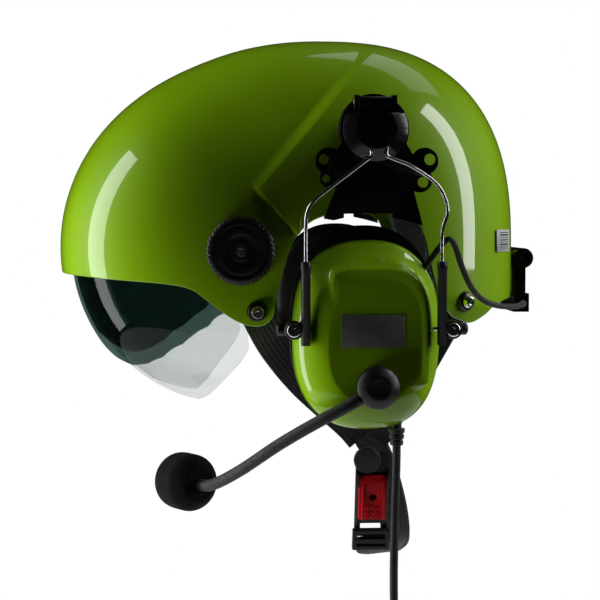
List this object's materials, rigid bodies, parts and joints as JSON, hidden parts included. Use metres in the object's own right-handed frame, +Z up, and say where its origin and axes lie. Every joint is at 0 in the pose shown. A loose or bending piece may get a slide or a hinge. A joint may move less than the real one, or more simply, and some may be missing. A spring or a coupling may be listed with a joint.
{
  "type": "flight helmet with communication headset",
  "caption": "Gloss flight helmet shell with a clear and a tinted visor, swing-out ear cups on wire arms, a boom microphone with foam windshield, a chin strap and a short plug-ended lead.",
  "frame": {"origin": "midway between the middles of the two ear cups, where the wearer's ears lie", "axes": "-Y is the way the wearer looks, +X is the wearer's left, +Z is up"},
  "size_m": [0.2755, 0.307, 0.5096],
  "materials": {
    "shell_paint": "gloss lime green lacquer",
    "liner": "moulded black liner",
    "pad": "brushed black padding",
    "clear_visor": "clear polycarbonate",
    "tinted_visor": "smoke tinted polycarbonate",
    "black_plastic": "fine grained black nylon",
    "steel": "stainless steel",
    "wire": "polished spring wire",
    "cushion": "soft black foam-filled cover",
    "foam": "open cell black foam",
    "boom_sleeve": "rubber sleeve over a bendable boom",
    "cable": "satin black cable jacket",
    "webbing": "woven black webbing",
    "red_plastic": "red nylon",
    "plate_film": "dark grey printed foil",
    "label_film": "pale grey sticker"
  },
  "bodies": {
    "shell": {"outer_shell": "shell_paint", "inner_liner": "liner", "fit_pads": "pad", "pivot_bushes": "black_plastic", "anchor_washers": "black_plastic", "anchor_bolts": "steel", "arm_mount_left": "black_plastic", "arm_mount_right": "black_plastic", "mount_bolts": "steel", "lead_left": "cable", "lead_right": "cable", "rear_clip": "black_plastic", "asset_label": "label_film", "strap_left": "webbing", "strap_right": "webbing", "chin_web": "webbing", "strap_keeper": "black_plastic", "buckle_body": "black_plastic", "buckle_pin": "steel", "web_adjuster": "black_plastic"},
    "tint": {"visor_tint": "tinted_visor", "knob_left": "black_plastic", "knob_screw_left": "steel"},
    "clear": {"visor_clear": "clear_visor", "knob_right": "black_plastic", "knob_screw_right": "steel"},
    "hub_l": {"hub_left": "black_plastic", "hinge_pin_left": "steel"},
    "hub_r": {"hub_right": "black_plastic", "hinge_pin_right": "steel"},
    "yoke_l": {"yoke_block_left": "black_plastic", "yoke_wires_left": "wire"},
    "yoke_r": {"yoke_block_right": "black_plastic", "yoke_wires_right": "wire"},
    "slider_l": {"sliders_left": "black_plastic", "slider_screws_left": "steel", "tilt_pins_left": "steel"},
    "slider_r": {"sliders_right": "black_plastic", "slider_screws_right": "steel", "tilt_pins_right": "steel"},
    "cup_l": {"cup_shell_left": "shell_paint", "cup_plate_left": "black_plastic", "cushion_left": "cushion", "driver_left": "black_plastic", "damping_foam_left": "foam", "rating_plate": "plate_film", "cord_gland": "cable", "downlead": "cable", "plug_body": "black_plastic", "plug_pin": "steel"},
    "cup_r": {"cup_shell_right": "shell_paint", "cup_plate_right": "black_plastic", "cushion_right": "cushion", "driver_right": "black_plastic", "damping_foam_right": "foam"},
    "boom": {"boom_hub": "black_plastic", "boom_tube": "boom_sleeve", "mic_capsule": "black_plastic", "windshield": "foam"},
    "buckle": {"buckle_lever": "red_plastic"}
  },
  "joints": [
    {"name": "tint_visor", "type": "hinge", "parent": "shell", "child": "tint", "pos_m": [0, -0.075, 0.047], "axis": [-1, 0, 0], "range_deg": [0, 62]},
    {"name": "clear_visor", "type": "hinge", "parent": "shell", "child": "clear", "pos_m": [0, -0.075, 0.047], "axis": [-1, 0, 0], "range_deg": [0, 62]},
    {"name": "arm_turn_left", "type": "hinge", "parent": "shell", "child": "hub_l", "pos_m": [0.118, 0.0035, 0.1185], "axis": [1, 0, 0], "range_deg": [-1.2, 1.2], "deforming": ["lead_left"]},
    {"name": "arm_turn_right", "type": "hinge", "parent": "shell", "child": "hub_r", "pos_m": [-0.118, 0.0035, 0.1185], "axis": [1, 0, 0], "range_deg": [-1.2, 1.2], "deforming": ["lead_right"]},
    {"name": "arm_swing_left", "type": "hinge", "parent": "hub_l", "child": "yoke_l", "pos_m": [0.123, 0.0035, 0.134], "axis": [0, -1, 0], "range_deg": [0, 28], "deforming": ["lead_left"]},
    {"name": "arm_swing_right", "type": "hinge", "parent": "hub_r", "child": "yoke_r", "pos_m": [-0.123, 0.0035, 0.134], "axis": [0, 1, 0], "range_deg": [0, 28], "deforming": ["lead_right"]},
    {"name": "cup_height_left", "type": "slide", "parent": "yoke_l", "child": "slider_l", "axis": [0, 0, 1], "range_m": [-0.02, 0.004], "deforming": ["lead_left"]},
    {"name": "cup_height_right", "type": "slide", "parent": "yoke_r", "child": "slider_r", "axis": [0, 0, 1], "range_m": [-0.02, 0.004], "deforming": ["lead_right"]},
    {"name": "cup_tilt_left", "type": "hinge", "parent": "slider_l", "child": "cup_l", "pos_m": [0.12, -0.0002, 0.001], "axis": [0, -1, 0], "range_deg": [-8, 8], "deforming": ["lead_left"]},
    {"name": "cup_tilt_right", "type": "hinge", "parent": "slider_r", "child": "cup_r", "pos_m": [-0.12, -0.0002, 0.001], "axis": [0, 1, 0], "range_deg": [-8, 8], "deforming": ["lead_right"]},
    {"name": "boom_turn", "type": "hinge", "parent": "cup_l", "child": "boom", "pos_m": [0.132, 0.004, -0.032], "axis": [-1, 0, 0], "range_deg": [-30, 10]},
    {"name": "buckle_open", "type": "hinge", "parent": "shell", "child": "buckle", "pos_m": [0.054, 0.0105, -0.09892], "axis": [0, -1, 0], "range_deg": [0, 40]}
  ]
}
